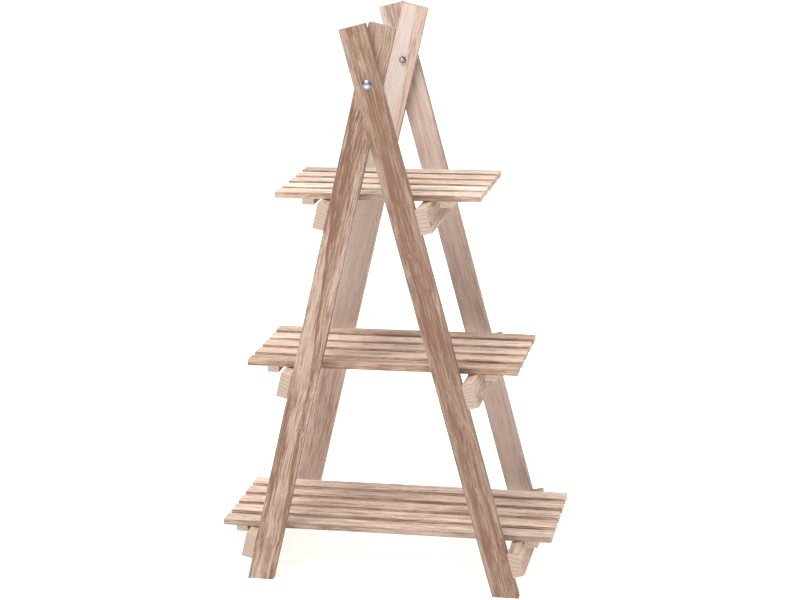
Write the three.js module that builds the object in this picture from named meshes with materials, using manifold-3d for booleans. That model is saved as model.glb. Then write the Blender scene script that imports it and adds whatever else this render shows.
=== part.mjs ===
// Folding ladder shelf: two leaning leg frames crossed on two pivot bolts, and three loose
// slatted shelves that lie on the frames' side rails.
// Millimetres, +Z up, +X to the right, +Y to the back. Origin: the middle of the footprint,
// on the floor. Standing open, the stand is symmetric left to right but for the crossing legs.
import * as THREE from 'three';
import { mergeVertices } from 'three/addons/utils/BufferGeometryUtils.js';
import Module from 'manifold-3d';

const wasm = await Module();
wasm.setup();

// ---- driving dimensions -------------------------------------------------------------------

// Leg frames
const LEAN = THREE.MathUtils.degToRad(14); // each frame's lean from the vertical when open
const PIVOT_HEIGHT = 871;
const LEG_WIDTH = 44;
const LEG_THICKNESS = 15;
const LEG_TOP_REACH = 96; // from the pivot up to the leg's square-cut top end
const STAND_DEPTH = 318; // over the outer faces of the two outer legs
const CROSSING_GAP = 2; // between an outer leg and the inner leg that it crosses

// Side rails, laid flat on the legs' outer narrow edges
const RAIL_THICKNESS = 19;
const RAIL_HEIGHT = 43;

// Shelves, from the top down. A batten's spread is from the centre to its inner face.
const SHELVES = [
  { name: 'top', topHeight: 682, length: 348, battenSpread: 107 },
  { name: 'middle', topHeight: 388, length: 466, battenSpread: 178 },
  { name: 'bottom', topHeight: 94, length: 578, battenSpread: 246 },
];
const SLAT_COUNT = 5;
const SLAT_WIDTH = 32;
const SLAT_THICKNESS = 10;
const SLAT_GAP = 14.5;
const BATTEN_WIDTH = 20;
const BATTEN_THICKNESS = 10;

// Clearance left between wooden faces that touch, and around fasteners in their holes
const FACE_GAP = 0.3;
const HOLE_GAP = 0.3;
const NUT_HOLE_GAP = 0.1;

// Pivot: M6 cup square bolt, nut and washer
const BOLT_RADIUS = 3;
const BOLT_HEAD_RADIUS = 8;
const BOLT_HEAD_HEIGHT = 3.6;
const BOLT_NECK_SIDE = 6;
const BOLT_NECK_DEPTH = 3.5;
const BOLT_TIP_CHAMFER = 0.8;
const BOLT_PAST_NUT = 2;
const NUT_ACROSS_FLATS = 10;
const NUT_HEIGHT = 5;
const NUT_CHAMFER = 0.6;
const WASHER_RADIUS = 6;
const WASHER_THICKNESS = 1.6;

// Rail screws: countersunk, driven from the leg's inner edge through its width into the rail
const SCREW_LENGTH = 57;
const SCREW_RADIUS = 1.8;
const SCREW_HEAD_RADIUS = 3.6;
const SCREW_HEAD_DEPTH = 2.6;
const SCREW_POINT_LENGTH = 5;
const SCREW_SINK = 0.4; // how far the head lies below the leg's edge
const RECESS_SLOT = 0.9; // the cross recess: slot width, slot length, depth
const RECESS_SPAN = 3.6;
const RECESS_DEPTH = 1.4;

// How finely round shapes are cut, and the margins that booleans need
const DOME_STEPS = 8;
const ROUND_SIDES = 32;
const SCREW_SIDES = 20;
const WELD_DISTANCE = 1e-4; // vertices closer than this are one
const JOIN_OVERLAP = 0.01; // between two shapes that are joined end to end
const CUT_MARGIN = 1; // how far a cutter reaches past what it cuts
const BARREL_MARGIN = 0.1; // between a nut's corners and the barrel that trims them

// ---- derived sizes ------------------------------------------------------------------------

const SHELF_DEPTH = SLAT_COUNT * SLAT_WIDTH + (SLAT_COUNT - 1) * SLAT_GAP;
const OUTER_LEG_Y = (STAND_DEPTH - LEG_THICKNESS) / 2; // centre of the back outer leg
const INNER_LEG_Y = OUTER_LEG_Y - LEG_THICKNESS - CROSSING_GAP;
const INNER_DEPTH = STAND_DEPTH - 2 * (LEG_THICKNESS + CROSSING_GAP);
const RAIL_OUTER_X = LEG_WIDTH / 2 + FACE_GAP + RAIL_THICKNESS; // in a frame's own axes

// ---- materials ----------------------------------------------------------------------------

function wood(colour) {
  return new THREE.MeshStandardMaterial({ color: colour, roughness: 0.75, metalness: 0 });
}

function zincPlated() {
  return new THREE.MeshStandardMaterial({ color: 0xc3c6c8, roughness: 0.3, metalness: 1 });
}

const LEG_BROWN = 0xa88a76;
const LEG_PALE = 0xc4aa9c;
const RAIL_PALE = 0xcbb6a6;
const SLAT_TONES = [0xd3b39f, 0xd9c0a8, 0xd0ae9c, 0xcfb19a, 0xd5b8a4];
const BATTEN_TONE = 0xd2b4a1;

// The stand's two faces. The front legs are cut from browner boards than the back ones.
const ENDS = [
  { end: 'front', outward: -1, tone: LEG_BROWN },
  { end: 'back', outward: 1, tone: LEG_PALE },
];

// ---- shapes and booleans --------------------------------------------------------------------

function toSolid(geometry) {
  const plain = geometry.clone();
  plain.deleteAttribute('normal');
  plain.deleteAttribute('uv');
  const merged = mergeVertices(plain, WELD_DISTANCE);
  return new wasm.Manifold(
    new wasm.Mesh({
      numProp: 3,
      vertProperties: new Float32Array(merged.attributes.position.array),
      triVerts: new Uint32Array(merged.index.array),
    }),
  );
}

function toGeometry(solid) {
  const mesh = solid.getMesh();
  const geometry = new THREE.BufferGeometry();
  geometry.setAttribute('position', new THREE.BufferAttribute(mesh.vertProperties, 3));
  geometry.setIndex(new THREE.BufferAttribute(mesh.triVerts, 1));
  geometry.computeVertexNormals();
  return geometry;
}

function subtract(geometry, cutters) {
  let solid = toSolid(geometry);
  for (const cutter of cutters) {
    solid = solid.subtract(toSolid(cutter));
  }
  return toGeometry(solid);
}

// A turned shape about the Y axis. The profile lists [radius, y] and starts and ends on the axis.
function turned(profile, sides) {
  return new THREE.LatheGeometry(
    profile.map(([radius, y]) => new THREE.Vector2(radius, y)),
    sides,
  );
}

function rod(radius, from, to, sides) {
  const profile = [
    [0, from],
    [radius, from],
    [radius, to],
    [0, to],
  ];
  return turned(profile, sides);
}

// ---- screws ---------------------------------------------------------------------------------

// Outline of a screw about the Y axis: the head's face at y = 0, the point at +y. A screw hole is
// the same outline, widened by grow, and deeper by more than that, to clear the slender point.
function screwOutline(grow) {
  const deeper = (grow * SCREW_POINT_LENGTH) / SCREW_RADIUS;
  return [
    [0, 0],
    [SCREW_HEAD_RADIUS + grow, 0],
    [SCREW_RADIUS + grow, SCREW_HEAD_DEPTH],
    [SCREW_RADIUS + grow, SCREW_LENGTH - SCREW_POINT_LENGTH + grow],
    [0, SCREW_LENGTH + deeper],
  ];
}

// The screw lies along +X, with its head's face at the origin.
function screwGeometry() {
  const body = turned(screwOutline(0), SCREW_SIDES);
  const depth = 2 * RECESS_DEPTH;
  const slots = [
    new THREE.BoxGeometry(RECESS_SPAN, depth, RECESS_SLOT),
    new THREE.BoxGeometry(RECESS_SLOT, depth, RECESS_SPAN),
  ];
  return subtract(body, slots).rotateZ(-Math.PI / 2);
}

// The hole for that screw, open past the head
function screwHole() {
  const sink = rod(SCREW_HEAD_RADIUS + HOLE_GAP, -2 * SCREW_SINK, JOIN_OVERLAP, SCREW_SIDES);
  const hole = turned(screwOutline(HOLE_GAP), SCREW_SIDES);
  return toGeometry(toSolid(sink).add(toSolid(hole))).rotateZ(-Math.PI / 2);
}

const SCREW = screwGeometry();

// ---- leg frames -----------------------------------------------------------------------------

// A frame is drawn in its own axes: origin on the pivot, +Z up along the leg, and side = 1
// where the rails are on its +X edge (outer frame) or -1 on its -X edge (inner frame).

// Height along the leg of a rail's top edge, for the rail that carries the given shelf
function railTop(shelf) {
  const slatUnderside = shelf.topHeight - SLAT_THICKNESS - FACE_GAP;
  return (slatUnderside - PIVOT_HEIGHT - RAIL_OUTER_X * Math.sin(LEAN)) / Math.cos(LEAN);
}

function railMiddle(shelf) {
  return railTop(shelf) - RAIL_HEIGHT / 2;
}

// Where the leg's sloping line at the given x meets the floor
function floorCut(x, side) {
  return -(PIVOT_HEIGHT + side * x * Math.sin(LEAN)) / Math.cos(LEAN);
}

function legBlank(side) {
  const half = LEG_WIDTH / 2;
  const outline = new THREE.Shape();
  outline.moveTo(-half, floorCut(-half, side));
  outline.lineTo(half, floorCut(half, side));
  outline.lineTo(half, LEG_TOP_REACH);
  outline.lineTo(-half, LEG_TOP_REACH);
  outline.closePath();
  const options = { depth: LEG_THICKNESS, bevelEnabled: false };
  const blank = new THREE.ExtrudeGeometry(outline, options);
  return blank.rotateX(Math.PI / 2).translate(0, LEG_THICKNESS / 2, 0);
}

// Position of a screw head's face on the leg's inner edge
function screwHeadX(side) {
  return -side * (LEG_WIDTH / 2 - SCREW_SINK);
}

function placedScrewHole(side, x, y, z) {
  const hole = screwHole();
  if (side < 0) {
    hole.rotateZ(Math.PI);
  }
  return hole.translate(x, y, z);
}

function pivotHole() {
  return rod(BOLT_RADIUS + HOLE_GAP, -LEG_THICKNESS, LEG_THICKNESS, ROUND_SIDES);
}

// The square seat that keeps the bolt from turning. The bolt's head is on the outward face.
function neckSeat(outward) {
  const side = BOLT_NECK_SIDE + 2 * HOLE_GAP;
  const depth = 2 * (BOLT_NECK_DEPTH + HOLE_GAP);
  const seat = new THREE.BoxGeometry(side, depth, side);
  return seat.translate(0, (outward * LEG_THICKNESS) / 2, 0);
}

function legGeometry(side, extraCutters) {
  const cutters = [pivotHole(), ...extraCutters];
  for (const shelf of SHELVES) {
    cutters.push(placedScrewHole(side, screwHeadX(side), 0, railMiddle(shelf)));
  }
  return subtract(legBlank(side), cutters);
}

function railGeometry(side, length, legY) {
  const blank = new THREE.BoxGeometry(RAIL_THICKNESS, length, RAIL_HEIGHT);
  const centreX = side * (RAIL_OUTER_X - RAIL_THICKNESS / 2);
  const holes = [-legY, legY].map((y) => placedScrewHole(side, screwHeadX(side) - centreX, y, 0));
  return subtract(blank, holes);
}

function named(name, geometry, material) {
  const mesh = new THREE.Mesh(geometry, material);
  mesh.name = name;
  return mesh;
}

function addRails(frame, side, sideName, length, legY) {
  const centreX = side * (RAIL_OUTER_X - RAIL_THICKNESS / 2);
  for (const shelf of SHELVES) {
    const geometry = railGeometry(side, length, legY);
    const rail = named(`${sideName}_rail_${shelf.name}`, geometry, wood(RAIL_PALE));
    rail.position.set(centreX, 0, railMiddle(shelf));
    frame.add(rail);
    for (const { end, outward } of ENDS) {
      const screw = named(`${sideName}_rail_${shelf.name}_screw_${end}`, SCREW.clone(), zincPlated());
      screw.position.set(screwHeadX(side), outward * legY, railMiddle(shelf));
      screw.rotation.z = side > 0 ? 0 : Math.PI;
      frame.add(screw);
    }
  }
}

function leaningFrame(side) {
  const frame = new THREE.Group();
  frame.position.z = PIVOT_HEIGHT;
  frame.rotation.y = -side * LEAN;
  return frame;
}

function outerFrame() {
  const side = 1;
  const frame = leaningFrame(side);
  for (const { end, outward, tone } of ENDS) {
    const leg = named(`${end}_outer_leg`, legGeometry(side, [neckSeat(outward)]), wood(tone));
    leg.position.y = outward * OUTER_LEG_Y;
    frame.add(leg, pivot(end, outward));
  }
  addRails(frame, side, 'right', STAND_DEPTH, OUTER_LEG_Y);
  return frame;
}

function innerFrame() {
  const side = -1;
  const frame = leaningFrame(side);
  for (const { end, outward, tone } of ENDS) {
    const leg = named(`${end}_inner_leg`, legGeometry(side, []), wood(tone));
    leg.position.y = outward * INNER_LEG_Y;
    frame.add(leg);
  }
  addRails(frame, side, 'left', INNER_DEPTH, INNER_LEG_Y);
  return frame;
}

// ---- pivot hardware -------------------------------------------------------------------------

// Along +Y from the outer leg's outward face at y = 0: domed head, square neck, shank
function boltGeometry() {
  const tip = 2 * LEG_THICKNESS + CROSSING_GAP + NUT_HEIGHT + BOLT_PAST_NUT;
  const dome = [];
  for (let step = 0; step <= DOME_STEPS; step += 1) {
    const angle = (step / DOME_STEPS) * (Math.PI / 2);
    const radius = BOLT_HEAD_RADIUS * Math.sin(angle);
    dome.push([radius, -FACE_GAP - BOLT_HEAD_HEIGHT * Math.cos(angle)]);
  }
  const profile = [
    ...dome,
    [BOLT_RADIUS, -FACE_GAP],
    [BOLT_RADIUS, tip - BOLT_TIP_CHAMFER],
    [BOLT_RADIUS - BOLT_TIP_CHAMFER, tip],
    [0, tip],
  ];
  const neckLength = BOLT_NECK_DEPTH + BOLT_HEAD_HEIGHT / 2;
  const neck = new THREE.BoxGeometry(BOLT_NECK_SIDE, neckLength, BOLT_NECK_SIDE);
  neck.translate(0, BOLT_NECK_DEPTH - neckLength / 2, 0);
  return toGeometry(toSolid(turned(profile, ROUND_SIDES)).add(toSolid(neck)));
}

// A hexagon nut about the Y axis, from y = 0 to its height, with its hole clear of the bolt. A
// barrel whose rim slopes in to the flats takes the hexagon's corners off.
function nutGeometry() {
  const cornerRadius = NUT_ACROSS_FLATS / Math.sqrt(3);
  const barrelRadius = cornerRadius + BARREL_MARGIN;
  const hexagon = new THREE.CylinderGeometry(cornerRadius, cornerRadius, NUT_HEIGHT, 6);
  hexagon.translate(0, NUT_HEIGHT / 2, 0);
  const flat = NUT_ACROSS_FLATS / 2;
  const barrel = turned(
    [
      [0, 0],
      [barrelRadius, 0],
      [barrelRadius, NUT_HEIGHT - NUT_CHAMFER],
      [flat, NUT_HEIGHT],
      [0, NUT_HEIGHT],
    ],
    ROUND_SIDES,
  );
  const holeRadius = BOLT_RADIUS + NUT_HOLE_GAP;
  const hole = rod(holeRadius, -CUT_MARGIN, NUT_HEIGHT + CUT_MARGIN, ROUND_SIDES);
  return toGeometry(toSolid(hexagon).intersect(toSolid(barrel)).subtract(toSolid(hole)));
}

function washerGeometry() {
  const disc = rod(WASHER_RADIUS, -WASHER_THICKNESS / 2, WASHER_THICKNESS / 2, ROUND_SIDES);
  const hole = rod(BOLT_RADIUS + HOLE_GAP, -WASHER_THICKNESS, WASHER_THICKNESS, ROUND_SIDES);
  return subtract(disc, [hole]);
}

// Hardware of one pivot, in the outer frame's axes: it points inward from that frame's leg
function pivot(end, outward) {
  const hardware = new THREE.Group();
  hardware.position.y = (outward * STAND_DEPTH) / 2;
  hardware.rotation.z = outward < 0 ? 0 : Math.PI;
  const bolt = named(`pivot_bolt_${end}`, boltGeometry(), zincPlated());
  const washer = named(`pivot_washer_${end}`, washerGeometry(), zincPlated());
  washer.position.y = LEG_THICKNESS + CROSSING_GAP / 2;
  const nut = named(`pivot_nut_${end}`, nutGeometry(), zincPlated());
  nut.position.y = 2 * LEG_THICKNESS + CROSSING_GAP + FACE_GAP;
  hardware.add(bolt, washer, nut);
  return hardware;
}

// ---- shelves --------------------------------------------------------------------------------

function shelfGroup(shelf) {
  const group = new THREE.Group();
  for (let index = 0; index < SLAT_COUNT; index += 1) {
    const board = new THREE.BoxGeometry(shelf.length, SLAT_WIDTH, SLAT_THICKNESS);
    const slat = named(`${shelf.name}_slat_${index + 1}`, board, wood(SLAT_TONES[index]));
    const y = -SHELF_DEPTH / 2 + SLAT_WIDTH / 2 + index * (SLAT_WIDTH + SLAT_GAP);
    slat.position.set(0, y, shelf.topHeight - SLAT_THICKNESS / 2);
    group.add(slat);
  }
  for (const [sideName, sign] of [['left', -1], ['right', 1]]) {
    const bar = new THREE.BoxGeometry(BATTEN_WIDTH, SHELF_DEPTH, BATTEN_THICKNESS);
    const batten = named(`${shelf.name}_batten_${sideName}`, bar, wood(BATTEN_TONE));
    const z = shelf.topHeight - SLAT_THICKNESS - FACE_GAP - BATTEN_THICKNESS / 2;
    batten.position.set(sign * (shelf.battenSpread + BATTEN_WIDTH / 2), 0, z);
    group.add(batten);
  }
  return group;
}

// ---- assembly -------------------------------------------------------------------------------

const group = new THREE.Group();
group.add(outerFrame(), innerFrame());
for (const shelf of SHELVES) {
  group.add(shelfGroup(shelf));
}

export default group;
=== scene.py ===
"""Looks of a folding ladder shelf: its camera, light, floor, timber, zinc hardware and staples."""

import math
import random

import bmesh
import bpy
from mathutils import Matrix, Vector


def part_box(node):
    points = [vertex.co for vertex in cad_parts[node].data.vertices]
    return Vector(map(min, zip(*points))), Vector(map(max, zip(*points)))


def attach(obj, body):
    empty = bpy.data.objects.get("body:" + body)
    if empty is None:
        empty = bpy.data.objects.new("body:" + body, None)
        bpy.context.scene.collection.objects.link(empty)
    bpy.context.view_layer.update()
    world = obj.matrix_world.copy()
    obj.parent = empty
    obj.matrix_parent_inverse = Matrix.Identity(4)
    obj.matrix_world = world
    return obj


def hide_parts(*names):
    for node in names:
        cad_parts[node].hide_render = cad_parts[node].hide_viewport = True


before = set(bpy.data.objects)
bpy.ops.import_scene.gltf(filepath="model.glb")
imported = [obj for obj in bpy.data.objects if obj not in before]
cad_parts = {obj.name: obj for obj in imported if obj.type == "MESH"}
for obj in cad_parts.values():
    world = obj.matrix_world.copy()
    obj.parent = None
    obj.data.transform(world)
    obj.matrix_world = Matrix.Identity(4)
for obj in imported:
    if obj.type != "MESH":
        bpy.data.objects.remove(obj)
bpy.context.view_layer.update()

# ---- driving dimensions (metres, degrees) ------------------------------------------------------

MM = 0.001
LEAN = math.radians(14.0)           # each frame's lean from the vertical
PIVOT_HEIGHT = 871.0 * MM

# The viewpoint: a long lens, to the right of the stand and above it
CAMERA_PLACE = Vector((0.712, -3.279, 1.370))
CAMERA_YAW = math.radians(12.04)
CAMERA_PITCH = math.radians(14.98)
CAMERA_ROLL = math.radians(-1.27)
CAMERA_LENS_MM = 90.5
SENSOR_WIDTH_MM = 36.0
CAMERA_REACH = 200.0                # how far away things are still drawn

# Light levels, where 1 shows a white surface as white
SKY_AT_HORIZON = 0.30
SKY_OVERHEAD = 1.12
FLOOR_GLOW = 0.46                   # keeps the floor white beyond the lamp's reach

# One square lamp, over the stand's front left and aimed at its middle; its power is in watts
LAMP_PLACE = Vector((-0.7, -1.5, 3.2))
LAMP_TARGET = Vector((0.0, 0.0, 0.5))
LAMP_WIDTH = 1.7
LAMP_POWER = 90.0

FLOOR_HALF = 22.0
FLOOR_CELLS = 22

ARRIS = 0.7 * MM                    # rounding of a board's long corners
METAL_ARRIS = 0.15 * MM

# Pivot bolts and staples, in millimetres
BOLT_HEAD_RADIUS = 8.0
BOLT_HEAD_HEIGHT = 3.6
BOLT_RIM_HEIGHT = 0.8
BOLT_RIM_CHAMFER = 0.2              # at the head's underside
BOLT_NECK_SIDE = 6.0
BOLT_NECK_DEPTH = 3.5
NECK_CORNER = 1.3                   # the square neck's rounded corners, as a share of its half side
NECK_START = 0.01                   # between the head's flat underside and the neck
NECK_TAPER = 0.6                    # where the square neck runs out into the round shank
BOLT_RADIUS = 3.0
BOLT_TIP_CHAMFER = 0.8
THREAD_PITCH = 1.0
THREAD_DEPTH = 0.55
THREAD_LENGTH = 12.0
THREAD_STEPS = 8
DOME_STEPS = 12
BOLT_SIDES = 48
STAPLE_WIRE = 1.1
STAPLE_CROWN = 10.0
STAPLE_LEG = 16.0
STAPLE_SHOULDER = 1.0
STAPLE_SUNK = 0.25
SHOULDER_STEPS = 4

# How far a staple may be driven off its place, in millimetres, and turned, in radians
STAPLE_DRIFT_ACROSS = 3
STAPLE_DRIFT_ALONG = 4
STAPLE_TURN = 0.35

TIERS = ("top", "middle", "bottom")
ENDS = ("front", "back")
SIDES = ("left", "right")
SLAT_COUNT = 5
CHANCE = 14                         # picks the one set of random draws that the stand is made with


# ---- colours -----------------------------------------------------------------------------------

def srgb(red, green, blue):
    """A colour given as 0-255 screen values, as linear RGBA."""
    def linear(value):
        value /= 255.0
        return value / 12.92 if value <= 0.04045 else ((value + 0.055) / 1.055) ** 2.4
    return (linear(red), linear(green), linear(blue), 1.0)


def blend(first, second, share):
    """A share of the second colour laid over the first."""
    return tuple(one + (two - one) * share for one, two in zip(first, second))


BLEACHED = srgb(246, 232, 218)      # what the palest grain tends to
HEARTWOOD = srgb(94, 50, 28)        # what the darkest grain tends to
SAWN_END = srgb(168, 152, 139)      # what end grain tends to


def tones(red, green, blue, paleness=0.30, darkness=0.55, end_paleness=0.45, palest=BLEACHED):
    """Pale, middle, dark and end-grain tones of a board whose middle tone is given as 0-255."""
    middle = srgb(red, green, blue)
    return (blend(middle, palest, paleness), middle, blend(middle, HEARTWOOD, darkness),
            blend(middle, SAWN_END, end_paleness))


# ---- node graphs -------------------------------------------------------------------------------

class Graph:
    """Short names for adding shader nodes and joining them: each takes sockets or plain values."""

    def __init__(self, tree):
        self.tree = tree

    def add(self, kind, **settings):
        node = self.tree.nodes.new(kind)
        for name, value in settings.items():
            setattr(node, name, value)
        return node

    def join(self, source, socket):
        if isinstance(source, bpy.types.NodeSocket):
            self.tree.links.new(source, socket)
        elif source is not None:
            socket.default_value = source

    def math(self, operation, first, second=None, third=None):
        node = self.add("ShaderNodeMath", operation=operation)
        for value, socket in zip((first, second, third), node.inputs):
            self.join(value, socket)
        return node.outputs[0]

    def vector(self, operation, first, second=None):
        node = self.add("ShaderNodeVectorMath", operation=operation)
        self.join(first, node.inputs[0])
        self.join(second, node.inputs[1])
        return node.outputs[0]

    def noise(self, place, scale, detail=2.0, roughness=0.5):
        node = self.add("ShaderNodeTexNoise")
        self.join(place, node.inputs["Vector"])
        node.inputs["Scale"].default_value = scale
        node.inputs["Detail"].default_value = detail
        node.inputs["Roughness"].default_value = roughness
        return node.outputs["Fac"]

    def smooth(self, value, low, high, low_out=0.0, high_out=1.0):
        """An easing from low_out, where the value is at low, to high_out, where it is at high."""
        node = self.add("ShaderNodeMapRange", interpolation_type="SMOOTHSTEP")
        for source, socket in zip((value, low, high, low_out, high_out), node.inputs):
            self.join(source, socket)
        return node.outputs[0]

    def mix(self, factor, first, second, mode="MIX"):
        node = self.add("ShaderNodeMix", data_type="RGBA", blend_type=mode)
        self.join(factor, node.inputs[0])
        self.join(first, node.inputs[6])
        self.join(second, node.inputs[7])
        return node.outputs[2]

    def combine(self, x, y, z):
        node = self.add("ShaderNodeCombineXYZ")
        for value, socket in zip((x, y, z), node.inputs):
            self.join(value, socket)
        return node.outputs[0]

    def separate(self, place):
        node = self.add("ShaderNodeSeparateXYZ")
        self.join(place, node.inputs[0])
        return node.outputs[0], node.outputs[1], node.outputs[2]

    def ramp(self, value, stops):
        """Grey levels at the given positions, straight in between."""
        node = self.add("ShaderNodeValToRGB")
        self.join(value, node.inputs[0])
        ramp = node.color_ramp
        while len(ramp.elements) < len(stops):
            ramp.elements.new(1.0)
        for element, (position, level) in zip(ramp.elements, stops):
            element.position = position
            element.color = (level, level, level, 1.0)
        return node.outputs[0]


# ---- timber ------------------------------------------------------------------------------------

# Inputs of the timber group: socket type, name, and the value where a board names none.
# Places and sizes are in millimetres, in the board's own axes: along the grain, across, through.
TIMBER_INPUTS = (
    ("NodeSocketVector", "Place", (0.0, 0.0, 0.0)),
    ("NodeSocketVector", "Facing", (0.0, 0.0, 1.0)),
    ("NodeSocketVector", "Half size", (100.0, 20.0, 5.0)),
    ("NodeSocketVector", "Offset", (0.0, 0.0, 0.0)),     # moves the noise, so that boards differ
    ("NodeSocketFloat", "Pith across", 8.0),
    ("NodeSocketFloat", "Pith through", 45.0),
    ("NodeSocketFloat", "Pith slope", 0.02),
    ("NodeSocketFloat", "Ring width", 5.0),
    ("NodeSocketFloat", "Rings", 0.2),                   # how strong each layer of figure is
    ("NodeSocketFloat", "Bands", 0.4),
    ("NodeSocketFloat", "Clouds", 0.4),
    ("NodeSocketFloat", "Flecks", 0.5),
    ("NodeSocketFloat", "Marks", 0.4),
    ("NodeSocketFloat", "Heart", 0.0),                   # darker heartwood past a curved boundary
    ("NodeSocketFloat", "Heart across", 0.0),
    ("NodeSocketFloat", "Heart slope", 0.0),
    ("NodeSocketFloat", "Heart curve", 0.0),
    ("NodeSocketFloat", "Heart fade", 30.0),             # how far past its boundary it fades
    ("NodeSocketFloat", "Stain", 0.0),                   # a long cloudy stain; below 0 it is pale
    ("NodeSocketVector", "Stain place", (0.0, 0.0, 0.0)),
    ("NodeSocketVector", "Stain size", (90.0, 14.0, 1.0)),
    ("NodeSocketFloat", "Patch", 0.0),                   # another, elsewhere
    ("NodeSocketVector", "Patch place", (0.0, 0.0, 0.0)),
    ("NodeSocketVector", "Patch size", (90.0, 14.0, 1.0)),
    ("NodeSocketFloat", "Painted edge shade", 0.9),              # painted shade: brightness of the narrow faces, above 1 painted light
    ("NodeSocketColor", "Pale", srgb(238, 206, 184)),
    ("NodeSocketColor", "Middle", srgb(220, 182, 156)),
    ("NodeSocketColor", "Dark", srgb(150, 106, 80)),
    ("NodeSocketColor", "End", srgb(208, 188, 166)),
)
TIMBER_OUTPUTS = (
    ("NodeSocketColor", "Colour"),
    ("NodeSocketFloat", "Roughness"),
    ("NodeSocketFloat", "Height"),
)


# The features of the grain, in millimetres: how long each is along it, and how wide across it
SLOW_CURVE = (210.0, 60.0)
QUICK_CURVE = (46.0, 26.0)
RING_RIPPLE = (60.0, 9.0)
RAGGED_OUTLINE = (60.0, 4.5)
BAND = (430.0, 12.0)
CLOUD = (110.0, 16.0)
STREAK = (60.0, 1.8)
MARK = (34.0, 3.0)
DASH = (15.0, 1.1)
FIBRE = (11.0, 0.5)
PORE = (4.5, 0.45)
END_SPECK = (1.1, 0.55)
CORNER_WEAR = (24.0, 3.0)

SLOW_SWING = 22.0                   # how far the slow and the quick curves push the grain, in mm
QUICK_SWING = 4.0
RIPPLE_SWING = 3.0                  # how far the ripple pushes the rings
FIGURE_LIFT = 0.25                  # raises the figure while it is frayed, so that pale wood frays too

# Across one growth ring: how far through it, and how dark it is there
RING_PROFILE = ((0.0, 0.30), (0.10, 0.0), (0.50, 0.15), (0.84, 1.0), (0.96, 0.60))


def grain_noise(graph, socket, place, feature, detail=2.0, roughness=0.5):
    """Noise with features as long and wide as named, in the board's own part of the noise."""
    along, across = feature
    scaled = graph.vector("MULTIPLY", place, (1.0 / along, 1.0 / across, 1.0 / across))
    return graph.noise(graph.vector("ADD", scaled, socket["Offset"]), 1.0, detail, roughness)


def length_of(graph, first, second):
    """The length of a vector with these two parts."""
    squares = [graph.math("MULTIPLY", part, part) for part in (first, second)]
    return graph.math("SQRT", graph.math("ADD", *squares))


def wandering(graph, socket):
    """The place, shifted sideways so that the grain runs in slow curves instead of straight."""
    place = socket["Place"]
    slow = grain_noise(graph, socket, place, SLOW_CURVE)
    quick = grain_noise(graph, socket, place, QUICK_CURVE)
    shift = graph.math("MULTIPLY", graph.math("SUBTRACT", slow, 0.5), SLOW_SWING)
    shift = graph.math("MULTIPLY_ADD", graph.math("SUBTRACT", quick, 0.5), QUICK_SWING, shift)
    return graph.vector("ADD", place, graph.combine(0.0, shift, shift))


def ring_pattern(graph, socket, grain):
    """Growth rings about a pith outside the board: a sawtooth from pale early to dark late wood."""
    along, across, through = graph.separate(grain)
    slope = graph.math("MULTIPLY", along, socket["Pith slope"])
    across = graph.math("ADD", graph.math("ADD", across, socket["Pith across"]), slope)
    through = graph.math("ADD", through, socket["Pith through"])
    ripple = grain_noise(graph, socket, grain, RING_RIPPLE)
    radius = graph.math("MULTIPLY_ADD", ripple, RIPPLE_SWING, length_of(graph, across, through))
    phase = graph.math("FRACT", graph.math("DIVIDE", radius, socket["Ring width"]))
    return graph.ramp(phase, RING_PROFILE)


def heart_pattern(graph, socket, grain):
    """Heartwood past a boundary that curves along the board: darkest at the boundary, then fading."""
    along, across, _ = graph.separate(grain)
    straight, _, _ = graph.separate(socket["Place"])
    boundary = graph.math("MULTIPLY_ADD", straight, socket["Heart slope"], socket["Heart across"])
    bent = graph.math("MULTIPLY", graph.math("MULTIPLY", straight, straight), socket["Heart curve"])
    past = graph.math("SUBTRACT", across, graph.math("ADD", boundary, bent))
    inside = graph.smooth(past, -1.0, 1.0)
    fading = graph.smooth(past, 0.5, socket["Heart fade"], 1.0, 0.25)
    seam = graph.smooth(graph.math("ABSOLUTE", past), 2.0, 0.0, 0.0, 0.5)
    shade = graph.math("MULTIPLY_ADD", inside, fading, seam)
    return graph.math("MULTIPLY", shade, socket["Heart"])


def stain_pattern(graph, socket, stain):
    """One long stain with a ragged outline: the one whose inputs start with this name."""
    from_middle = graph.vector("SUBTRACT", socket["Place"], socket[stain + " place"])
    along, across, _ = graph.separate(graph.vector("DIVIDE", from_middle, socket[stain + " size"]))
    ragged = grain_noise(graph, socket, socket["Place"], RAGGED_OUTLINE, 4.0, 0.65)
    ragged = graph.math("SUBTRACT", ragged, 0.5)
    distance = graph.math("MULTIPLY_ADD", ragged, 3.0, length_of(graph, along, across))
    return graph.math("MULTIPLY", graph.smooth(distance, 1.15, 0.25), socket[stain])


def edge_distance(graph, socket):
    """Millimetres from a point on the surface to the nearest corner line of the board."""
    inward = graph.vector("SUBTRACT", socket["Half size"], graph.vector("ABSOLUTE", socket["Place"]))
    first, second, third = graph.separate(inward)
    lesser = graph.math("MINIMUM", first, second)
    greater = graph.math("MAXIMUM", first, second)
    return graph.math("MAXIMUM", lesser, graph.math("MINIMUM", greater, third))


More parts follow.
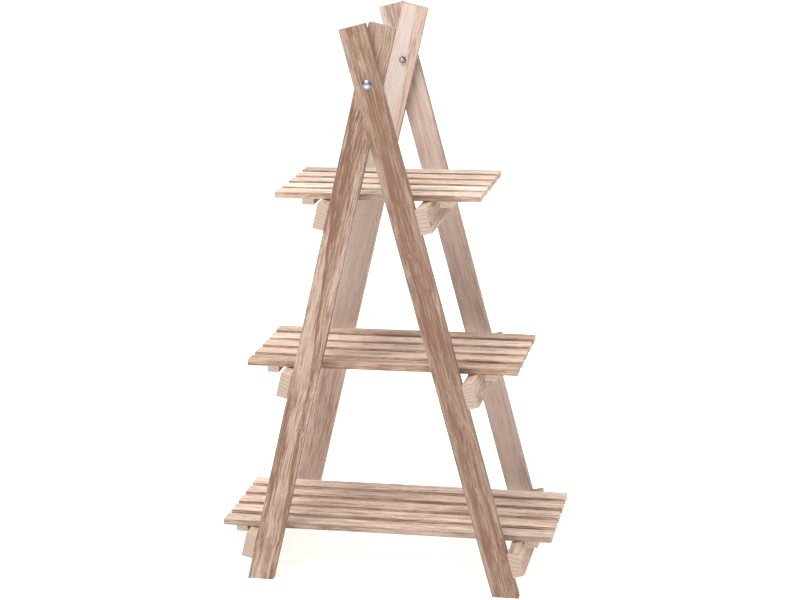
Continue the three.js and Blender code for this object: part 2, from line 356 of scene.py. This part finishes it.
def figure_pattern(graph, socket, grain, rings, streak):
    """How dark the board's figure is: about 0 in the palest wood and 1 in the darkest."""
    band = grain_noise(graph, socket, grain, BAND)
    cloud = grain_noise(graph, socket, grain, CLOUD, 3.0, 0.58)
    figure = graph.math("MULTIPLY", graph.smooth(band, 0.36, 0.64), socket["Bands"])
    figure = graph.math("MULTIPLY_ADD", graph.smooth(cloud, 0.42, 0.70), socket["Clouds"], figure)
    figure = graph.math("MULTIPLY_ADD", rings, socket["Rings"], figure)
    figure = graph.math("ADD", figure, heart_pattern(graph, socket, grain))
    figure = graph.math("ADD", figure, stain_pattern(graph, socket, "Stain"))
    figure = graph.math("ADD", figure, stain_pattern(graph, socket, "Patch"))

    # The streaks fray it, so that no dark area is flat and no outline is clean
    fraying = graph.smooth(streak, 0.36, 0.64, 0.55, 1.25)
    frayed = graph.math("MULTIPLY", graph.math("ADD", figure, FIGURE_LIFT), fraying)
    return graph.math("SUBTRACT", frayed, FIGURE_LIFT)


def side_colour(graph, socket, grain, rings):
    """The colour of a face or narrow side, and the dashes and streaks that also shape its relief."""
    streak = grain_noise(graph, socket, grain, STREAK, 3.0, 0.60)
    dash = grain_noise(graph, socket, grain, DASH, 3.0, 0.65)
    pore = grain_noise(graph, socket, grain, PORE, 2.0, 0.6)
    mark = grain_noise(graph, socket, grain, MARK)

    figure = figure_pattern(graph, socket, grain, rings, streak)
    colour = graph.mix(graph.smooth(figure, -0.15, 0.55), socket["Pale"], socket["Middle"])
    colour = graph.mix(graph.smooth(figure, 0.42, 1.10, 0.0, 0.9), colour, socket["Dark"])

    # Streaks, short dashes and pores are stronger where the figure is dark, marks are not
    strength = graph.math("MULTIPLY", graph.smooth(figure, 0.0, 0.7, 0.55, 1.0), socket["Flecks"])
    streaks = graph.math("MULTIPLY", graph.smooth(streak, 0.44, 0.74, 0.0, 0.9), strength)
    dashes = graph.math("MULTIPLY", graph.smooth(dash, 0.44, 0.80, 0.0, 0.9), strength)
    pores = graph.math("MULTIPLY", graph.smooth(pore, 0.52, 0.66, 0.0, 0.8), strength)
    marks = graph.math("MULTIPLY", graph.smooth(mark, 0.63, 0.74), socket["Marks"])
    for darkening in (streaks, dashes, pores, marks):
        colour = graph.mix(darkening, colour, socket["Dark"])
    return colour, dashes, streak


def end_colour(graph, socket, rings):
    """Sawn end grain: rings and open pores, with no streaks."""
    speck = grain_noise(graph, socket, socket["Place"], END_SPECK, 2.0, 0.6)
    colour = graph.mix(graph.smooth(rings, 0.35, 0.95, 0.0, 0.75), socket["End"], socket["Dark"])
    return graph.mix(graph.smooth(speck, 0.52, 0.75, 0.0, 0.3), colour, socket["Dark"])


def worn_corners(graph, socket, colour):
    """Corner lines rubbed pale in places, with grime beside them in others."""
    corner = edge_distance(graph, socket)
    breakup = grain_noise(graph, socket, socket["Place"], CORNER_WEAR, 3.0, 0.6)
    rubbed = graph.math("MULTIPLY", graph.smooth(corner, 0.2, 1.3, 1.0, 0.0),
                        graph.smooth(breakup, 0.42, 0.62))
    grime = graph.math("MULTIPLY", graph.smooth(corner, 0.4, 2.4, 1.0, 0.0),
                       graph.smooth(breakup, 0.56, 0.36))
    colour = graph.mix(graph.math("MULTIPLY", grime, 0.4), colour, socket["Dark"])
    return graph.mix(graph.math("MULTIPLY", rubbed, 0.5), colour, socket["Pale"])


def timber_group():
    """The node group that every board's material uses."""
    tree = bpy.data.node_groups.new("timber", "ShaderNodeTree")
    for kind, name, value in TIMBER_INPUTS:
        entry = tree.interface.new_socket(name, in_out="INPUT", socket_type=kind)
        entry.default_value = value
    for kind, name in TIMBER_OUTPUTS:
        tree.interface.new_socket(name, in_out="OUTPUT", socket_type=kind)
    graph = Graph(tree)
    socket = graph.add("NodeGroupInput").outputs
    result = graph.add("NodeGroupOutput").inputs

    grain = wandering(graph, socket)
    rings = ring_pattern(graph, socket, grain)
    colour, dashes, streak = side_colour(graph, socket, grain, rings)
    facing_along, facing_across, _ = graph.separate(graph.vector("ABSOLUTE", socket["Facing"]))
    is_end = graph.smooth(facing_along, 0.6, 0.8)
    is_edge = graph.smooth(facing_across, 0.5, 0.9)
    # Painted shade: the narrow faces are darkened by the board's edge value, and brightened where it
    # is above 1
    shade = graph.math("MULTIPLY_ADD", graph.math("SUBTRACT", socket["Painted edge shade"], 1.0), is_edge, 1.0)

    # Fine fibres over everything, then the corners, then the painted shade of the narrow faces, which
    # is warm
    fibre = grain_noise(graph, socket, grain, FIBRE, 3.0, 0.6)
    shade = graph.math("MULTIPLY", shade, graph.smooth(fibre, 0.25, 0.75, 0.93, 1.06))
    colour = graph.mix(is_end, colour, end_colour(graph, socket, rings))
    colour = worn_corners(graph, socket, colour)
    warm_painted_shade_and_fibre = graph.combine(graph.math("POWER", shade, 0.90), shade, graph.math("POWER", shade, 1.15))
    colour = graph.mix(1.0, colour, warm_painted_shade_and_fibre, "MULTIPLY")
    graph.join(colour, result["Colour"])

    roughness = graph.smooth(fibre, 0.2, 0.8, 0.60, 0.76)
    roughness = graph.math("MULTIPLY_ADD", rings, -0.06, roughness)
    roughness = graph.math("MULTIPLY_ADD", is_end, 0.12, roughness)
    graph.join(roughness, result["Roughness"])

    height = graph.math("MULTIPLY", fibre, 0.55)
    height = graph.math("MULTIPLY_ADD", rings, 0.25, height)
    height = graph.math("MULTIPLY_ADD", dashes, -0.8, height)
    height = graph.math("MULTIPLY_ADD", streak, 0.3, height)
    graph.join(height, result["Height"])
    return tree


class Board:
    """A sawn board's own axes, as the rows of a turn: along its grain, across its face, through
    it. Also its middle and half its size in those axes.
    """

    def __init__(self, node, along, across):
        through = along.cross(across)
        self.turn = Matrix((along, across, through))
        places = [self.turn @ vertex.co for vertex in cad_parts[node].data.vertices]
        low = Vector([min(place[axis] for place in places) for axis in range(3)])
        high = Vector([max(place[axis] for place in places) for axis in range(3)])
        self.centre = (low + high) / 2
        self.half = (high - low) / 2


def timber_material(name, board, board_tones, look, dice):
    """A board's material: the timber group in the board's own axes, with its own luck."""
    material = bpy.data.materials.new(name)
    material.use_nodes = True
    tree = material.node_tree
    graph = Graph(tree)
    shader = tree.nodes["Principled BSDF"]
    coordinates = graph.add("ShaderNodeTexCoord")
    in_board = graph.add("ShaderNodeMapping", vector_type="POINT")
    in_board.inputs["Rotation"].default_value = board.turn.to_euler()
    in_board.inputs["Location"].default_value = -board.centre
    graph.join(coordinates.outputs["Object"], in_board.inputs["Vector"])
    facing = graph.add("ShaderNodeMapping", vector_type="VECTOR")
    facing.inputs["Rotation"].default_value = board.turn.to_euler()
    graph.join(coordinates.outputs["Normal"], facing.inputs["Vector"])

    timber = graph.add("ShaderNodeGroup", node_tree=bpy.data.node_groups["timber"])
    millimetres = graph.vector("MULTIPLY", in_board.outputs[0], (1000.0, 1000.0, 1000.0))
    graph.join(millimetres, timber.inputs["Place"])
    graph.join(facing.outputs[0], timber.inputs["Facing"])
    timber.inputs["Half size"].default_value = board.half / MM
    timber.inputs["Offset"].default_value = [dice.uniform(0.0, 900.0) for _ in range(3)]
    for socket, value in look.items():
        drawn = socket in SAWN_RANGES
        timber.inputs[socket].default_value = dice.uniform(*value) if drawn else value
    for socket, tone in zip(("Pale", "Middle", "Dark", "End"), board_tones):
        timber.inputs[socket].default_value = tone

    bump = graph.add("ShaderNodeBump")
    bump.inputs["Strength"].default_value = 0.6
    bump.inputs["Distance"].default_value = 0.25 * MM
    graph.join(timber.outputs["Height"], bump.inputs["Height"])
    graph.join(timber.outputs["Colour"], shader.inputs["Base Color"])
    graph.join(timber.outputs["Roughness"], shader.inputs["Roughness"])
    graph.join(bump.outputs["Normal"], shader.inputs["Normal"])
    shader.inputs["Specular IOR Level"].default_value = 0.35
    return material


# How each kind of board was sawn, as ranges that each board draws from, and its figure. The
# stains and the heartwood are at places along and across each leg, in mm from its middle.
SAWN_RANGES = ("Pith across", "Pith through", "Pith slope", "Ring width")
LEG_SAWN = {"Pith across": (-30, 30), "Pith through": (45, 80), "Pith slope": (-0.03, 0.03),
            "Ring width": (6.0, 9.0)}
# The edge value in each look is painted shade on the leg's narrow faces; the front outer leg's, above
# 1, is painted light
LEG_LOOKS = {
    "front_outer": {
        **LEG_SAWN, "Rings": 0.16, "Bands": 0.35, "Clouds": 0.70, "Flecks": 1.1, "Marks": 0.5,
        "Heart": 0.40, "Heart across": -11.0, "Heart slope": 0.006,
        "Stain": 0.40, "Stain place": (130.0, 5.0, 0.0), "Stain size": (220.0, 24.0, 1.0),
        "Patch": -0.45, "Patch place": (450.0, -12.0, 0.0), "Patch size": (90.0, 26.0, 1.0),
        "Painted edge shade": 1.08,
    },
    "front_inner": {
        **LEG_SAWN, "Rings": 0.12, "Bands": 0.22, "Clouds": 0.35, "Flecks": 0.95, "Marks": 0.35,
        "Heart": 0.85, "Heart across": 1.5, "Heart slope": -0.085, "Heart curve": -1.15e-4,
        "Heart fade": 8.0,
        "Stain": 1.0, "Stain place": (225.0, -10.0, 0.0), "Stain size": (130.0, 20.0, 1.0),
        "Patch": 0.9, "Patch place": (-270.0, -18.0, 0.0), "Patch size": (220.0, 19.0, 1.0),
        "Painted edge shade": 0.78,
    },
    "back_outer": {
        **LEG_SAWN, "Rings": 0.08, "Bands": 0.25, "Clouds": 0.25, "Flecks": 0.2, "Marks": 0.2,
        "Stain": 1.1, "Stain place": (455.0, 6.0, 0.0), "Stain size": (85.0, 30.0, 1.0),
        "Painted edge shade": 0.72,
    },
    "back_inner": {
        **LEG_SAWN, "Rings": 0.08, "Bands": 0.25, "Clouds": 0.22, "Flecks": 0.4, "Marks": 0.3,
        "Heart": 0.40, "Heart across": 25.0, "Heart slope": -0.045,
        "Stain": -0.5, "Stain place": (400.0, -7.0, 0.0), "Stain size": (150.0, 13.0, 1.0),
        "Patch": 0.55, "Patch place": (-265.0, 2.0, 0.0), "Patch size": (150.0, 40.0, 1.0),
        "Painted edge shade": 0.85,
    },
}
LEG_TONES = {
    "front_outer": tones(145, 121, 102, paleness=0.15, darkness=0.65),
    "front_inner": tones(159, 134, 116, paleness=0.24, darkness=0.75),
    "back_outer": tones(182, 159, 148),
    "back_inner": tones(195, 169, 153, paleness=0.9, palest=srgb(198, 185, 177)),
}

RAIL_LOOK = {"Pith across": (70, 110), "Pith through": (10, 35), "Pith slope": (-0.02, 0.02),
             "Ring width": (5.4, 6.6), "Rings": 0.35, "Bands": 0.35, "Clouds": 0.45, "Flecks": 0.7,
             "Marks": 0.6, "Stain": 0.6, "Stain place": (0.0, -6.0, 0.0),
             "Stain size": (400.0, 20.0, 1.0), "Painted edge shade": 1.0}
RAIL_TONES = tones(196, 168, 148, end_paleness=0.8)
# The slats' edge value is painted shade on their front and back faces
SLAT_LOOK = {"Pith across": (-25, 25), "Pith through": (14, 40), "Pith slope": (-0.03, 0.03),
             "Ring width": (5.0, 8.0), "Rings": 0.36, "Bands": 0.4, "Clouds": 0.5, "Flecks": 1.15,
             "Marks": 0.95, "Painted edge shade": 0.86}
BATTEN_LOOK = {**SLAT_LOOK, "Rings": 0.3, "Flecks": 0.35}
BATTEN_TONES = tones(212, 188, 170, end_paleness=0.8)

# Painted shade on the slats' narrow sides, as their brightness: the front slat's on each shelf, for
# the light that falls less on the front faces than on the tops, and the others', for the shade in the
# gaps between slats
FRONT_EDGE_PAINTED_SHADES = {"top": 0.57, "middle": 0.92, "bottom": 0.60}
INNER_EDGE_PAINTED_SHADE = 0.62

# The few tones of wood that the slats are cut from, and which slat is which, front to back
SLAT_WOODS = {
    "cream": (245, 230, 213),
    "blond": (240, 213, 195),
    "peach": (224, 197, 178),
    "sand": (211, 189, 171),
    "honey": (205, 176, 155),
    "tan": (184, 155, 132),
}
SLATS_CUT_FROM = {
    "top": ("blond", "cream", "peach", "peach", "sand"),
    "middle": ("tan", "peach", "peach", "blond", "honey"),
    "bottom": ("sand", "peach", "peach", "peach", "blond"),
}


def round_corners(piece, width):
    bevel = piece.modifiers.new("rounded corners", "BEVEL")
    bevel.width = width
    bevel.segments = 2
    bevel.limit_method = "ANGLE"
    bevel.angle_limit = math.radians(40)
    bevel.harden_normals = True


def dress_board(node, along, across, board_tones, look, dice):
    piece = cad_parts[node]
    board = Board(node, along, across)
    piece.data.materials.clear()
    piece.data.materials.append(timber_material("wood_" + node, board, board_tones, look, dice))
    round_corners(piece, ARRIS)


def leg_axes(side):
    """Up the leg, and across its face, of the frame whose rails are on the given side."""
    sign = 1 if side == "right" else -1
    up = Vector((-sign * math.sin(LEAN), 0, math.cos(LEAN)))
    across = Vector((math.cos(LEAN), 0, sign * math.sin(LEAN)))
    return up, across


def dress_frames(dice):
    for ring, side in (("outer", "right"), ("inner", "left")):
        up, across = leg_axes(side)
        for end in ENDS:
            key = f"{end}_{ring}"
            dress_board(f"{key}_leg", up, across, LEG_TONES[key], LEG_LOOKS[key], dice)
        for tier in TIERS:
            dress_board(f"{side}_rail_{tier}", Vector((0, 1, 0)), up, RAIL_TONES, RAIL_LOOK, dice)


def slat_look(node, edge_painted_shade, dice):
    """A slat's figure: a stain near its middle, and a dark streak along its front edge."""
    low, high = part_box(node)
    half_length = (high[0] - low[0]) / 2 / MM
    middle = (dice.uniform(-0.3, 0.3) * half_length, dice.uniform(-12.0, 12.0), 0.0)
    size = (dice.uniform(0.3, 0.6) * half_length, dice.uniform(8.0, 18.0), 1.0)
    streak = (dice.uniform(-0.5, 0.7) * half_length, -14.0, 0.0)
    streak_size = (dice.uniform(0.15, 0.35) * half_length, dice.uniform(4.0, 7.0), 1.0)
    return {
        **SLAT_LOOK,
        "Stain": dice.uniform(0.15, 0.5), "Stain place": middle, "Stain size": size,
        "Patch": dice.uniform(0.8, 1.4), "Patch place": streak, "Patch size": streak_size,
        "Painted edge shade": edge_painted_shade,
    }


def dress_shelves(dice):
    for tier in TIERS:
        for index, wood in enumerate(SLATS_CUT_FROM[tier]):
            node = f"{tier}_slat_{index + 1}"
            edge_painted_shade = FRONT_EDGE_PAINTED_SHADES[tier] if index == 0 else INNER_EDGE_PAINTED_SHADE
            look = slat_look(node, edge_painted_shade, dice)
            slat_tones = tones(*SLAT_WOODS[wood], darkness=0.65, end_paleness=0.6)
            dress_board(node, Vector((1, 0, 0)), Vector((0, 1, 0)), slat_tones, look, dice)
        for side in SIDES:
            dress_board(f"{tier}_batten_{side}", Vector((0, 1, 0)), Vector((1, 0, 0)),
                        BATTEN_TONES, BATTEN_LOOK, dice)


# ---- zinc hardware -----------------------------------------------------------------------------

def zinc_material(name, roughness, painted_shade_strength=0.0, unshaded_radius=2.4, dark=6.5):
    """Zinc plating with a cloudy sheen and fine scratches. Its painted shade and reflection darken it
    towards the rim: none up to one distance from the pivot's axis and darkest from another, both in
    millimetres.
    """
    material = bpy.data.materials.new(name)
    material.use_nodes = True
    graph = Graph(material.node_tree)
    shader = material.node_tree.nodes["Principled BSDF"]
    coordinates = graph.add("ShaderNodeTexCoord").outputs["Object"]
    cloud = graph.noise(coordinates, 420.0, 4.0, 0.6)
    fine = graph.noise(graph.vector("MULTIPLY", coordinates, (4.0, 1.0, 1.0)), 2600.0, 3.0, 0.6)
    colour = graph.mix(graph.smooth(cloud, 0.3, 0.7), srgb(206, 209, 212), srgb(176, 178, 182))
    colour = graph.mix(graph.smooth(fine, 0.62, 0.72, 0.0, 0.4), colour, srgb(140, 140, 138))
    across, _, up = graph.separate(coordinates)
    up = graph.math("SUBTRACT", up, PIVOT_HEIGHT)
    # Painted shade: darker away from the pivot's axis, for the contact shade and reflected dark wood
    # round the bolt's head and the shaded sides of the nut
    painted_rim_shade = graph.smooth(length_of(graph, across, up), unshaded_radius * MM, dark * MM, 0.0, painted_shade_strength)
    colour = graph.mix(painted_rim_shade, colour, srgb(92, 95, 104))
    graph.join(colour, shader.inputs["Base Color"])
    graph.join(graph.smooth(cloud, 0.25, 0.75, roughness * 0.8, roughness * 1.5),
               shader.inputs["Roughness"])
    bump = graph.add("ShaderNodeBump")
    bump.inputs["Strength"].default_value = 0.25
    bump.inputs["Distance"].default_value = 0.05 * MM
    graph.join(fine, bump.inputs["Height"])
    graph.join(bump.outputs["Normal"], shader.inputs["Normal"])
    shader.inputs["Metallic"].default_value = 1.0
    return material


def polished(piece, material):
    piece.data.materials.clear()
    piece.data.materials.append(material)
    round_corners(piece, METAL_ARRIS)


def linked(name, data, material):
    """A new piece in the scene, of this mesh or curve and this material."""
    piece = bpy.data.objects.new(name, data)
    bpy.context.scene.collection.objects.link(piece)
    data.materials.append(material)
    return piece


def skin(name, rings):
    """A closed mesh through rings of points, each end closed by a fan to the ring's middle."""
    mesh = bmesh.new()
    rows = [[mesh.verts.new(point) for point in ring] for ring in rings]
    count = len(rows[0])
    for lower, upper in zip(rows, rows[1:]):
        for index in range(count):
            after = (index + 1) % count
            mesh.faces.new((lower[index], lower[after], upper[after], upper[index]))
    for row, order in ((rows[0], 1), (rows[-1], -1)):
        middle = mesh.verts.new(sum((vertex.co for vertex in row), Vector()) / count)
        for index in range(count):
            corner = (row[(index + 1) % count], row[index], middle)
            mesh.faces.new(corner[::order])
    bmesh.ops.recalc_face_normals(mesh, faces=mesh.faces)
    data = bpy.data.meshes.new(name)
    mesh.to_mesh(data)
    mesh.free()
    data.shade_smooth()
    data.set_sharp_from_angle(angle=math.radians(35))
    return data


def bolt_sections(length):
    """(depth, radius by angle) down a cup square bolt, from its dome to its threaded tip, in mm."""
    def plain(radius):
        return lambda angle: radius

    def square(angle):
        reach = max(abs(math.cos(angle)), abs(math.sin(angle)))
        return min(BOLT_NECK_SIDE / 2 / reach, BOLT_NECK_SIDE / 2 * NECK_CORNER)

    def thread(depth, radius):
        def at(angle):
            turn = (depth / THREAD_PITCH - angle / math.tau) % 1.0
            return radius - THREAD_DEPTH * abs(2.0 * turn - 1.0)
        return at

    dome_height = BOLT_HEAD_HEIGHT - BOLT_RIM_HEIGHT
    sphere = (BOLT_HEAD_RADIUS ** 2 + dome_height ** 2) / (2 * dome_height)
    sections = []
    for step in range(1, DOME_STEPS + 1):
        radius = BOLT_HEAD_RADIUS * math.sin(step / DOME_STEPS * math.pi / 2)
        sections.append((sphere - math.sqrt(sphere ** 2 - radius ** 2), plain(radius)))
    sections.append((BOLT_HEAD_HEIGHT - BOLT_RIM_CHAMFER, plain(BOLT_HEAD_RADIUS)))
    sections.append((BOLT_HEAD_HEIGHT, plain(BOLT_HEAD_RADIUS - BOLT_RIM_CHAMFER)))
    neck_end = BOLT_HEAD_HEIGHT + BOLT_NECK_DEPTH
    sections += [(BOLT_HEAD_HEIGHT + NECK_START, square), (neck_end - NECK_TAPER, square)]
    shank = BOLT_RADIUS - THREAD_DEPTH / 2
    sections += [(neck_end, plain(shank)), (length - THREAD_LENGTH, plain(shank))]
    steps = round(THREAD_LENGTH / THREAD_PITCH * THREAD_STEPS)
    for step in range(1, steps + 1):
        depth = length - THREAD_LENGTH * (1 - step / steps)
        cut_back = max(0.0, depth - (length - BOLT_TIP_CHAMFER))
        sections.append((depth, thread(depth, BOLT_RADIUS - cut_back)))
    return sections


def add_bolt(end, material):
    """The pivot bolt of one end, along Y, its square neck turned to sit in the leaning leg."""
    low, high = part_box(f"pivot_bolt_{end}")
    middle = (low + high) / 2
    inward = 1 if end == "front" else -1
    outer_y = low.y if inward > 0 else high.y
    rings = []
    for depth, radius_at in bolt_sections((high.y - low.y) / MM):
        ring = []
        for index in range(BOLT_SIDES):
            angle = index / BOLT_SIDES * math.tau
            radius = radius_at(angle) * MM
            lean = angle - LEAN
            ring.append((middle.x + radius * math.cos(lean), outer_y + inward * depth * MM,
                         middle.z + radius * math.sin(lean)))
        rings.append(ring)
    name = f"pivot_bolt_{end}_detail"
    bolt = linked(name, skin(name, rings), material)
    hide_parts(f"pivot_bolt_{end}")
    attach(bolt, "outer_frame")


def staple_points(turn):
    """One staple about its crown's middle, in mm: leg, crown, leg, with round shoulders."""
    points = [Vector((0, -STAPLE_CROWN / 2, STAPLE_LEG))]
    for side in (-1, 1):
        centre = side * (STAPLE_CROWN / 2 - STAPLE_SHOULDER)
        angles = [step / SHOULDER_STEPS * math.pi / 2 for step in range(SHOULDER_STEPS + 1)]
        for angle in (angles if side < 0 else reversed(angles)):
            points.append(Vector((0, centre + side * STAPLE_SHOULDER * math.cos(angle),
                                  STAPLE_SHOULDER * (1 - math.sin(angle)))))
    points.append(Vector((0, STAPLE_CROWN / 2, STAPLE_LEG)))
    return [Matrix.Rotation(turn, 3, "Z") @ point for point in points]


def add_staples(tier, side, dice, material):
    """The five staples driven up through one batten, one into each slat."""
    name = f"{tier}_batten_{side}_staples"
    curve = bpy.data.curves.new(name, "CURVE")
    curve.dimensions = "3D"
    curve.bevel_depth = STAPLE_WIRE / 2 * MM
    curve.bevel_resolution = 3
    curve.use_fill_caps = True
    low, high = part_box(f"{tier}_batten_{side}")
    for index in range(SLAT_COUNT):
        slat_low, slat_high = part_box(f"{tier}_slat_{index + 1}")
        across = dice.uniform(-STAPLE_DRIFT_ACROSS, STAPLE_DRIFT_ACROSS) * MM
        along = dice.uniform(-STAPLE_DRIFT_ALONG, STAPLE_DRIFT_ALONG) * MM
        middle = Vector(((low.x + high.x) / 2 + across, (slat_low.y + slat_high.y) / 2 + along,
                         low.z + STAPLE_SUNK * MM))
        points = staple_points(dice.uniform(-STAPLE_TURN, STAPLE_TURN))
        spline = curve.splines.new("POLY")
        spline.points.add(len(points) - 1)
        for target, point in zip(spline.points, points):
            target.co = (*(middle + point * MM), 1.0)
    staples = linked(name, curve, material)
    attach(staples, f"{tier}_shelf")


def dress_hardware(dice):
    # The bolt's head and the nut get a ring of painted shade, with painted reflection on the head; the
    # dull zinc gets none
    bright = zinc_material("zinc_bright", 0.24, painted_shade_strength=0.8)
    nut_zinc = zinc_material("zinc_nut", 0.4, painted_shade_strength=1.0, unshaded_radius=2.8, dark=3.8)
    dull = zinc_material("zinc_dull", 0.4)
    for end in ENDS:
        add_bolt(end, bright)
        polished(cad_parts[f"pivot_nut_{end}"], nut_zinc)
        polished(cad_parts[f"pivot_washer_{end}"], dull)
        for side in SIDES:
            for tier in TIERS:
                polished(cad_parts[f"{side}_rail_{tier}_screw_{end}"], dull)
    for tier in TIERS:
        for side in SIDES:
            add_staples(tier, side, dice, dull)


# ---- camera, light and floor -------------------------------------------------------------------

def add_camera():
    camera = bpy.data.objects.new("camera", bpy.data.cameras.new("camera"))
    bpy.context.scene.collection.objects.link(camera)
    camera.data.lens = CAMERA_LENS_MM
    camera.data.sensor_width = SENSOR_WIDTH_MM
    camera.data.clip_end = CAMERA_REACH
    forward = Vector((-math.sin(CAMERA_YAW) * math.cos(CAMERA_PITCH),
                      math.cos(CAMERA_YAW) * math.cos(CAMERA_PITCH),
                      -math.sin(CAMERA_PITCH)))
    level = Vector((math.cos(CAMERA_YAW), math.sin(CAMERA_YAW), 0))
    upright = level.cross(forward)
    right = level * math.cos(CAMERA_ROLL) + upright * math.sin(CAMERA_ROLL)
    up = right.cross(forward)
    turn = Matrix((right, up, -forward)).transposed().to_4x4()
    camera.matrix_world = Matrix.Translation(CAMERA_PLACE) @ turn
    bpy.context.scene.camera = camera


def add_lamp():
    data = bpy.data.lights.new("overhead", "AREA")
    data.shape = "SQUARE"
    data.size = LAMP_WIDTH
    data.energy = LAMP_POWER
    lamp = bpy.data.objects.new("overhead", data)
    bpy.context.scene.collection.objects.link(lamp)
    lamp.location = LAMP_PLACE
    lamp.rotation_euler = (LAMP_TARGET - LAMP_PLACE).to_track_quat("-Z", "Y").to_euler()


def add_world():
    """A white studio: bright overhead, greyer towards the horizon."""
    world = bpy.data.worlds.new("studio")
    bpy.context.scene.world = world
    world.use_nodes = True
    graph = Graph(world.node_tree)
    background = world.node_tree.nodes["Background"]
    background.inputs["Color"].default_value = (1.0, 1.0, 1.0, 1.0)
    direction = graph.add("ShaderNodeTexCoord").outputs["Generated"]
    _, _, upward = graph.separate(direction)
    graph.join(graph.smooth(upward, 0.0, 0.7, SKY_AT_HORIZON, SKY_OVERHEAD),
               background.inputs["Strength"])


def add_floor():
    """A pale matt floor that glows a little, so that it stays white all round the stand."""
    mesh = bmesh.new()
    bmesh.ops.create_grid(mesh, x_segments=FLOOR_CELLS, y_segments=FLOOR_CELLS, size=FLOOR_HALF)
    data = bpy.data.meshes.new("floor")
    mesh.to_mesh(data)
    mesh.free()
    floor = bpy.data.objects.new("floor", data)
    bpy.context.scene.collection.objects.link(floor)
    material = bpy.data.materials.new("floor_paint")
    material.use_nodes = True
    graph = Graph(material.node_tree)
    shader = material.node_tree.nodes["Principled BSDF"]
    coordinates = graph.add("ShaderNodeTexCoord").outputs["Object"]
    mottle = graph.noise(coordinates, 3.0, 3.0)
    colour = graph.mix(graph.smooth(mottle, 0.3, 0.7), srgb(250, 250, 250), srgb(247, 247, 247))
    graph.join(colour, shader.inputs["Base Color"])
    shader.inputs["Roughness"].default_value = 0.9
    shader.inputs["Specular IOR Level"].default_value = 0.1
    shader.inputs["Emission Color"].default_value = (1.0, 1.0, 1.0, 1.0)
    shader.inputs["Emission Strength"].default_value = FLOOR_GLOW
    data.materials.append(material)


def add_studio():
    scene = bpy.context.scene
    scene.view_settings.view_transform = "Standard"
    scene.view_settings.look = "None"
    add_camera()
    add_world()
    add_floor()
    add_lamp()


# ---- the whole model ---------------------------------------------------------------------------

add_studio()
timber_group()
dice = random.Random(CHANCE)
dress_frames(dice)
dress_shelves(dice)
dress_hardware(dice)
